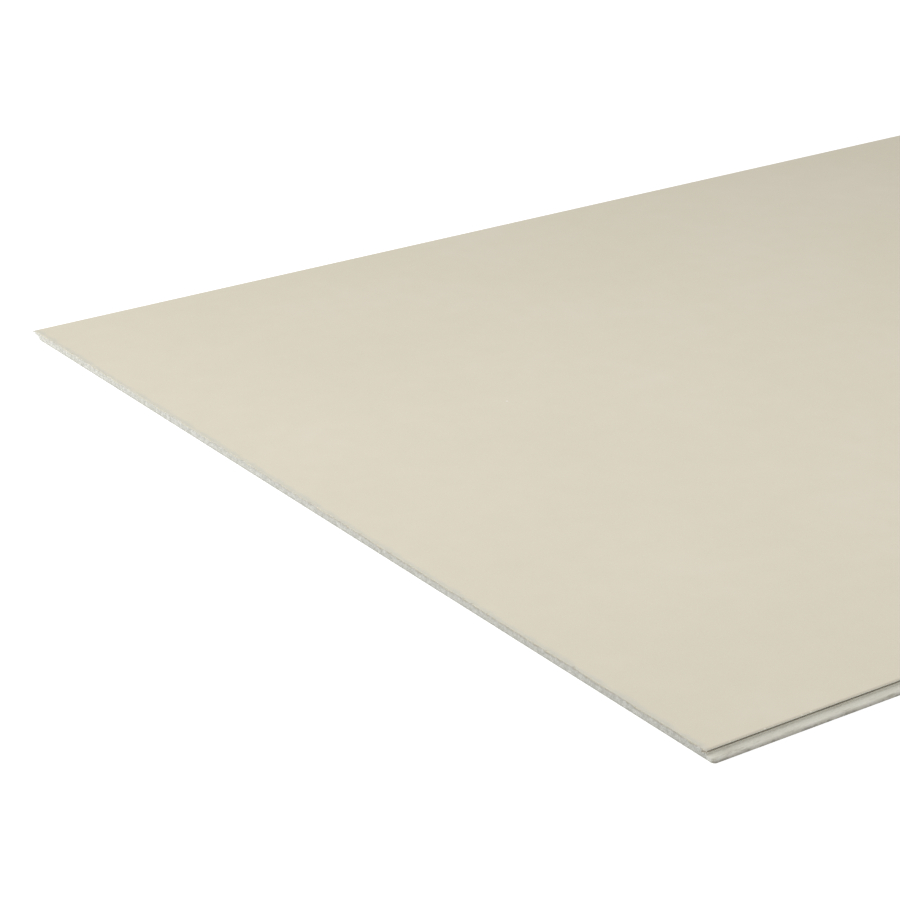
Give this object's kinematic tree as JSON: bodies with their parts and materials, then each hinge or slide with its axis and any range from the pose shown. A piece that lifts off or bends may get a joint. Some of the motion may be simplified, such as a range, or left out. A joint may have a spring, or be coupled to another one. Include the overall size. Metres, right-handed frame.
{
  "type": "pvc wall panel",
  "caption": "Large flat wall panel sheet with a smooth printed front, plain sawn ends and tongue-and-groove long edges: a groove and lower lip on one, a tongue and lap on the other.",
  "frame": {"origin": "middle of the back face, halfway along the length and halfway between the outermost points of the two long edges", "axes": "+X along the length, +Y across the sheet from the groove edge to the tongue edge, +Z through the thickness from the back to the printed front"},
  "size_m": [2.6, 0.9122, 0.006],
  "materials": {
    "printed_pvc": "satin"
  },
  "bodies": {
    "root": {"wall_panel": "printed_pvc"}
  },
  "joints": []
}
